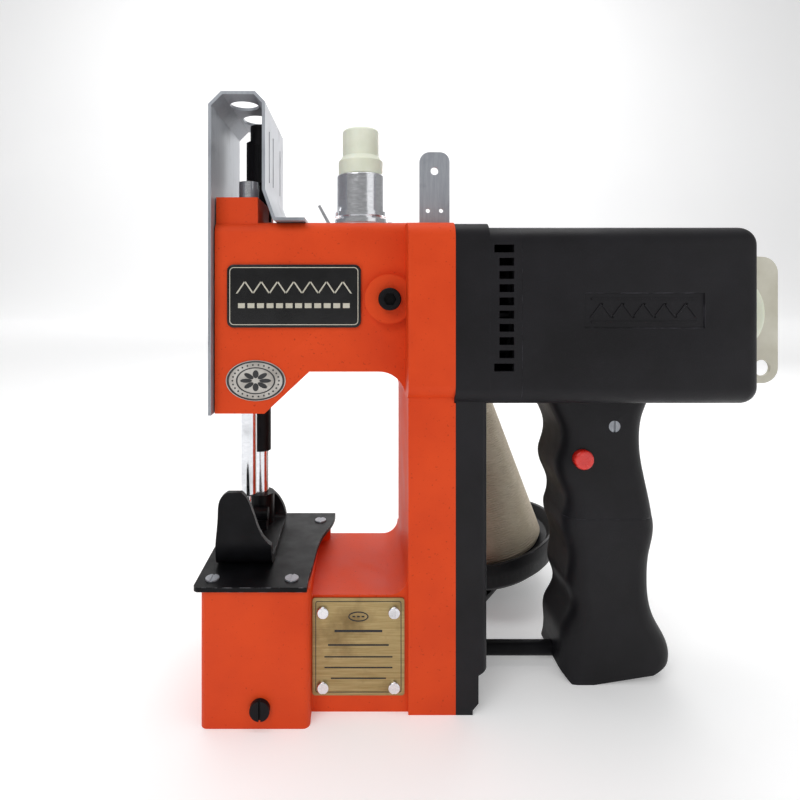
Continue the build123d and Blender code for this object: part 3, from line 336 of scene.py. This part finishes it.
def cream_nylon():
    look = Surface("cream_nylon")
    body = look.mix(look.ramp(look.noise(60, 5), 0.35, 0.7), linear(222, 226, 206), linear(236, 239, 222))
    look.colour(look.mix(look.ramp(look.noise(220, 6), 0.7, 0.8), body, linear(190, 190, 168)))
    look.rough(look.ramp(look.noise(90, 4), 0.3, 0.7, 0.34, 0.48))
    look.bump(look.noise(1100, 3), 0.00006, 0.4)
    look.put("Subsurface Weight", 0.25)
    look.put("Subsurface Radius", (0.004, 0.003, 0.002))
    return look.material


def cream_lacquer():
    look = Surface("cream_lacquer")
    body = look.mix(look.ramp(look.noise(60, 5), 0.35, 0.7), linear(188, 184, 168), linear(204, 201, 187))
    look.colour(look.mix(look.ramp(look.noise(260, 6), 0.68, 0.78), body, linear(170, 166, 152)))
    look.rough(look.ramp(look.noise(90, 4), 0.3, 0.7, 0.34, 0.5))
    look.bump(look.noise(900, 3), 0.00005, 0.4)
    return look.material


def red_plastic():
    look = Surface("red_plastic")
    mottle = look.ramp(look.noise(300, 4), 0.35, 0.7)
    look.colour(look.mix(mottle, linear(206, 26, 16), linear(226, 40, 26)))
    look.rough(look.ramp(look.noise(400, 4), 0.3, 0.7, 0.2, 0.32))
    look.bump(look.noise(1500, 2), 0.00003, 0.4)
    look.put("Coat Weight", 0.4)
    look.put("Coat Roughness", 0.1)
    return look.material


def thread_wound():
    look = Surface("thread_wound")
    body = look.mix(look.ramp(look.noise(40, 5), 0.35, 0.7), linear(206, 192, 168), linear(226, 214, 194))
    strands = look.noise(1.0, 4, 0.6, look.stretched((220, 220, 2600)))
    look.colour(look.mix(look.ramp(strands, 0.25, 0.65), linear(190, 175, 149), body))
    look.rough(look.ramp(strands, 0.3, 0.7, 0.62, 0.85))
    look.bump(strands, 0.0003, 0.6)
    look.put("Sheen Weight", 0.3)
    look.put("Sheen Roughness", 0.5)
    return look.material


def plain(name, dark, light, low, high, scale, metallic=0.0):
    """A simple inner material with colour mottling, uneven gloss and a fine relief."""
    look = Surface(name)
    look.colour(look.mix(look.ramp(look.noise(scale, 5), 0.35, 0.7), dark, light))
    look.rough(look.ramp(look.noise(scale * 2, 4), 0.3, 0.7, low, high))
    look.bump(look.noise(scale * 8, 3), 0.00008, 0.5)
    look.put("Metallic", metallic)
    return look.material


def card():
    return plain("card", linear(140, 112, 78), linear(172, 142, 104), 0.75, 0.9, 120)


def copper():
    return plain("copper", linear(150, 78, 46), linear(190, 108, 66), 0.3, 0.45, 150, 0.9)


def carbon():
    return plain("carbon", linear(38, 38, 40), linear(58, 58, 60), 0.55, 0.75, 200)


def belt_rubber():
    return plain("belt_rubber", linear(24, 24, 25), linear(38, 38, 39), 0.6, 0.8, 180)


FINISHES = {
    "orange_paint": orange_paint,
    "black_plastic": black_plastic,
    "black_steel": black_steel,
    "zinc": zinc,
    "cream_zinc": cream_lacquer,
    "chrome": chrome,
    "steel": steel,
    "bronze": bronze,
    "name_plate": brass_plate,
    "label_black": gloss_black,
    "badge_silver": badge_film,
    "cream_nylon": cream_nylon,
    "red_button": red_plastic,
    "thread": thread_wound,
    "card": card,
    "copper": copper,
    "carbon": carbon,
    "belt_rubber": belt_rubber,
}
MATERIALS = {slot: make() for slot, make in FINISHES.items()}
WORN_EDGES = {
    "orange_paint": orange_paint(worn=True),
    "black_plastic": black_plastic(worn=True),
    "black_steel": black_steel(worn=True),
}
NODE_SLOTS = {row["node"]: row["material_slot"] for row in frame["record"]["subparts"]}
NODE_BODIES = {n: b for b, ns in frame["record"]["behaviour"]["bodies"].items() for n in ns}


def dress_nodes():
    """Gives every CAD node the procedural material of its slot."""
    for name, obj in frame["nodes"].items():
        obj.data.materials.clear()
        obj.data.materials.append(MATERIALS[NODE_SLOTS[name]])


def finish(piece, body, slot):
    """Hangs a piece on the empty of its body, and gives it the material of a slot."""
    piece.data.materials.clear()
    piece.data.materials.append(MATERIALS[slot])
    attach(piece, body)


# Edges that turn by more degrees than this stay sharp, or are rounded in a softened copy
SHARP_ANGLE = 32


def piece_from(name, bm, body, slot, smooth_angle=SHARP_ANGLE):
    """Turns a finished bmesh into a piece that rides on a body."""
    bmesh.ops.recalc_face_normals(bm, faces=bm.faces)
    mesh = bpy.data.meshes.new(name)
    bm.to_mesh(mesh)
    bm.free()
    mesh.shade_smooth()
    mesh.set_sharp_from_angle(angle=math.radians(smooth_angle))
    piece = bpy.data.objects.new(name, mesh)
    scene.collection.objects.link(piece)
    finish(piece, body, slot)
    return piece


# ---------------------------------------------------------------- softened copies of CAD nodes
def soft_edges(node, width, segments=2):
    """A copy of a CAD node's shape with rounded edges, standing in for the node."""
    mesh = frame["nodes"][node].data.copy()
    bm = bmesh.new()
    bm.from_mesh(mesh)
    bmesh.ops.remove_doubles(bm, verts=bm.verts, dist=2e-6)
    bmesh.ops.dissolve_limit(bm, angle_limit=math.radians(0.5), verts=bm.verts, edges=bm.edges)
    bm.to_mesh(mesh)
    bm.free()
    piece = bpy.data.objects.new(node + "_soft", mesh)
    scene.collection.objects.link(piece)
    mesh.shade_smooth()
    mesh.set_sharp_from_angle(angle=math.radians(SHARP_ANGLE))
    bevel = piece.modifiers.new("edge_round", "BEVEL")
    bevel.width = width
    bevel.segments = segments
    bevel.limit_method = "ANGLE"
    bevel.angle_limit = math.radians(SHARP_ANGLE)
    bevel.use_clamp_overlap = True
    bevel.harden_normals = True
    finish(piece, NODE_BODIES[node], NODE_SLOTS[node])
    if NODE_SLOTS[node] in WORN_EDGES:
        mesh.materials.append(WORN_EDGES[NODE_SLOTS[node]])
        bevel.material = 1
    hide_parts(node)


SOFT_WIDTHS = {
    "frame_casting": 1.2 * MM,
    "belt_cover": 0.6 * MM,
    "fan_shroud": 0.4 * MM,
    "motor_housing": 0.5 * MM,
    "handle_lower": 0.8 * MM,
    "throat_plate": 0.3 * MM,
    "presser_foot": 0.4 * MM,
    "face_cover": 0.25 * MM,
    "hanger_plate": 0.25 * MM,
    "thread_guide_strip": 0.2 * MM,
    "spool_tray": 0.5 * MM,
    "spool_bracket": 0.4 * MM,
    "lifter_lever": 0.4 * MM,
    "name_plate": 0.15 * MM,
}


# ---------------------------------------------------------------- printed and stamped plates
def slab(bm, outline, y_span):
    """A flat tablet facing the operator, from an outline of X and Z."""
    front = [bm.verts.new((x, y_span[0], z)) for x, z in outline]
    back = [bm.verts.new((x, y_span[1], z)) for x, z in outline]
    bm.faces.new(front)
    bm.faces.new(back[::-1])
    for i in range(len(outline)):
        j = (i + 1) % len(outline)
        bm.faces.new((front[i], back[i], back[j], front[j]))


def rounded_outline(middle, half, radius, steps=6):
    """The corner-rounded rectangle of X and Z round a middle."""
    points = []
    for quarter, (sx, sz) in enumerate(((1, 1), (-1, 1), (-1, -1), (1, -1))):
        for step in range(steps + 1):
            angle = math.radians(90 * (quarter + step / steps))
            x = middle[0] + sx * (half[0] - radius) + radius * math.cos(angle)
            points.append((x, middle[1] + sz * (half[1] - radius) + radius * math.sin(angle)))
    return points


def oval_outline(middle, half, steps=48):
    angles = [2 * math.pi * step / steps for step in range(steps)]
    return [(middle[0] + half[0] * math.cos(a), middle[1] + half[1] * math.sin(a)) for a in angles]


def rim(bm, outer, inner, y_span):
    """A raised line between two outlines with the same number of points."""
    loops = []
    for outline in (outer, inner):
        for y in y_span:
            loops.append([bm.verts.new((x, y, z)) for x, z in outline])
    out_front, out_back, in_front, in_back = loops
    for i in range(len(outer)):
        j = (i + 1) % len(outer)
        bm.faces.new((out_front[i], out_front[j], in_front[j], in_front[i]))
        bm.faces.new((out_front[i], out_back[i], out_back[j], out_front[j]))
        bm.faces.new((in_front[i], in_front[j], in_back[j], in_back[i]))


def border(bm, middle, half, corner, line, y_span):
    """A raised line of even width along the inside of a corner-rounded rectangle."""
    outer = rounded_outline(middle, half, corner)
    inner = rounded_outline(middle, (half[0] - line, half[1] - line), corner - line)
    rim(bm, outer, inner, y_span)


def bar(x_span, z_span):
    return [(x_span[0], z_span[0]), (x_span[1], z_span[0]), (x_span[1], z_span[1]), (x_span[0], z_span[1])]


def zigzag(bm, x_span, z_span, teeth, stroke, y_span):
    """A zigzag line of slanted bars that starts at the low end of z_span."""
    pitch = (x_span[1] - x_span[0]) / teeth
    for tooth in range(teeth):
        left = x_span[0] + tooth * pitch
        start, end = z_span if tooth % 2 == 0 else z_span[::-1]
        outline = [
            (left - stroke / 2, start),
            (left + stroke / 2, start),
            (left + pitch + stroke / 2, end),
            (left + pitch - stroke / 2, end),
        ]
        slab(bm, outline, y_span)


def face_of(node):
    """The middle and half size of a node's front in X and Z, and its front Y."""
    low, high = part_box(node)
    middle = ((low[0] + high[0]) / 2, (low[2] + high[2]) / 2)
    return middle, ((high[0] - low[0]) / 2, (high[2] - low[2]) / 2), low[1]


PRINT = 0.12 * MM
SINK = 0.05 * MM


def label_print():
    """A thin rim, a row of zigzag stitches and a row of straight stitches."""
    (x, z), (half_x, half_z), front = face_of("label_plate")
    span = (front - PRINT, front + SINK)
    bm = bmesh.new()
    border(bm, (x, z), (half_x - 1.2 * MM, half_z - 1.2 * MM), 2 * MM, 0.35 * MM, span)
    reach = half_x - 4.5 * MM
    zigzag(bm, (x - reach, x + reach), (z + 1.2 * MM, z + 6.6 * MM), 14, 0.75 * MM, span)
    dashes = 12
    pitch = 2 * reach / dashes
    for dash in range(dashes):
        left = x - reach + (dash + 0.14) * pitch
        slab(bm, bar((left, left + 0.72 * pitch), (z - 5.4 * MM, z - 3.2 * MM)), span)
    piece_from("label_print", bm, "frame", "cream_zinc")


def name_plate_marks():
    """An engraved border with plain ruled lines, all without lettering."""
    (x, z), (half_x, half_z), front = face_of("name_plate")
    span = (front - 0.06 * MM, front + SINK)
    bm = bmesh.new()
    line = 0.3 * MM
    border(bm, (x, z), (half_x - 1.3 * MM, half_z - 1.3 * MM), 1 * MM, line, span)
    emblem = (x, z + 0.62 * half_z)
    rim(bm, oval_outline(emblem, (4.4 * MM, 2.2 * MM)), oval_outline(emblem, (3.9 * MM, 1.7 * MM)), span)
    for stitch in (-1, 0, 1):
        middle = emblem[0] + stitch * 2 * MM
        slab(bm, bar((middle - 0.6 * MM, middle + 0.6 * MM), (emblem[1] - line, emblem[1] + line)), span)
    # Height and half length of each ruled line as shares of the plate, and its thickness in mm
    rows = (
        (0.3, 0.52, 1.0),
        (0.02, 0.66, 0.7),
        (-0.22, 0.74, 0.55),
        (-0.44, 0.74, 0.55),
        (-0.66, 0.6, 0.55),
    )
    for height, width, thick in rows:
        level = z + height * half_z
        slab(bm, bar((x - width * half_x, x + width * half_x), (level, level + thick * MM)), span)
    piece_from("name_plate_marks", bm, "frame", "label_black")


def badge_marks():
    """A dark ring with a plain eight-petal rosette inside."""
    (x, z), (half_x, half_z), front = face_of("oval_badge")
    span = (front - PRINT, front + SINK)
    bm = bmesh.new()
    ring = [oval_outline((x, z), (half_x * share, half_z * share)) for share in (0.97, 0.9, 0.66, 0.61)]
    rim(bm, ring[0], ring[1], span)
    rim(bm, ring[2], ring[3], span)
    petals = 8
    corners = 12
    for petal in range(petals):
        angle = 2 * math.pi * petal / petals
        outline = []
        for step in range(corners):
            turn = 2 * math.pi * step / corners
            along = 0.32 + 0.2 * math.cos(turn)
            across = 0.1 * math.sin(turn)
            outline.append(
                (
                    x + half_x * (along * math.cos(angle) - across * math.sin(angle)),
                    z + half_z * (along * math.sin(angle) + across * math.cos(angle)),
                )
            )
        slab(bm, outline, span)
    dots = 26
    for dot in range(dots):
        angle = 2 * math.pi * dot / dots
        at = (x + 0.78 * half_x * math.cos(angle), z + 0.78 * half_z * math.sin(angle))
        slab(bm, oval_outline(at, (0.42 * MM, 0.42 * MM), 8), span)
    piece_from("badge_marks", bm, "frame", "carbon")


# Floor of the long recess in the motor's side: middle in X and Z, half size, and Y
RECESS = (174.85 * MM, 175.25 * MM)
RECESS_HALF = (25.55 * MM, 7.45 * MM)
RECESS_Y = -40.4 * MM


def recess_relief():
    """A moulded zigzag stitch between two lines in the long recess of the motor's side."""
    x, z = RECESS
    span = (RECESS_Y - 0.35 * MM, RECESS_Y + SINK)
    bm = bmesh.new()
    reach = RECESS_HALF[0] - 3 * MM
    zigzag(bm, (x - reach, x + reach), (z - 3 * MM, z + 3 * MM), 10, 1.1 * MM, span)
    for level in (-5.2 * MM, 4.6 * MM):
        slab(bm, bar((x - reach, x + reach), (z + level, z + level + 0.6 * MM)), span)
    piece_from("recess_relief", bm, "frame", "black_plastic")


# ---------------------------------------------------------------- wound thread
CONE_AT = Vector((133.2, 80.0, 27.0)) * MM
CONE_LEAN = math.radians(13)
CONE_R = 36.6 * MM
CONE_TOP_R = 23.0 * MM
CONE_H = 105 * MM
CORE_BASE_R = 20 * MM
CORE_TOP_R = 9 * MM
CONE_BASE = -2.9 * MM


def wound_cone():
    """The thread package with its cross-wound turns as real relief."""
    rows = 420
    around = 144
    turns = 84
    crossing = 7
    relief = 0.3 * MM
    top = CONE_H - 2.4 * MM
    profile = [(CORE_BASE_R, CONE_BASE, 0), (CONE_R - 2 * MM, CONE_BASE, 0)]
    for row in range(rows + 1):
        share = row / rows
        height = -1.5 * MM + share * (CONE_H - 4 * MM + 1.5 * MM)
        radius = CONE_R - 0.4 * MM + share * (CONE_TOP_R - CONE_R)
        shoulder = min(1, share / 0.015, (1 - share) / 0.02)
        radius -= 1.6 * MM * (1 - math.sqrt(1 - (1 - shoulder) ** 2))
        profile.append((radius, height, shoulder))
    profile += [(CONE_TOP_R - 2 * MM, top, 0), (CORE_TOP_R, top, 0)]
    lean_x = Vector((math.cos(CONE_LEAN), 0, math.sin(CONE_LEAN)))
    lean_z = Vector((-math.sin(CONE_LEAN), 0, math.cos(CONE_LEAN)))
    bm = bmesh.new()
    loops = []
    for radius, height, shoulder in profile:
        loop = []
        for step in range(around):
            share = step / around
            level = turns * height / CONE_H
            waves = (math.sin(2 * math.pi * (level + sign * crossing * share)) for sign in (-1, 1))
            r = radius + shoulder * relief * (max(waves) - 1)
            angle = 2 * math.pi * share
            flat = lean_x * (r * math.cos(angle)) + Vector((0, 1, 0)) * (r * math.sin(angle))
            loop.append(bm.verts.new(CONE_AT + flat + lean_z * height))
        loops.append(loop)
    for low, high in zip(loops, loops[1:] + loops[:1]):
        for i in range(around):
            j = (i + 1) % around
            bm.faces.new((low[i], low[j], high[j], high[i]))
    piece = piece_from("wound_thread", bm, NODE_BODIES["thread_cone"], "thread", 60)
    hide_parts("thread_cone")


make_camera()
make_floor()
make_light()
dress_nodes()
for node, width in SOFT_WIDTHS.items():
    soft_edges(node, width)
label_print()
name_plate_marks()
badge_marks()
recess_relief()
wound_cone()
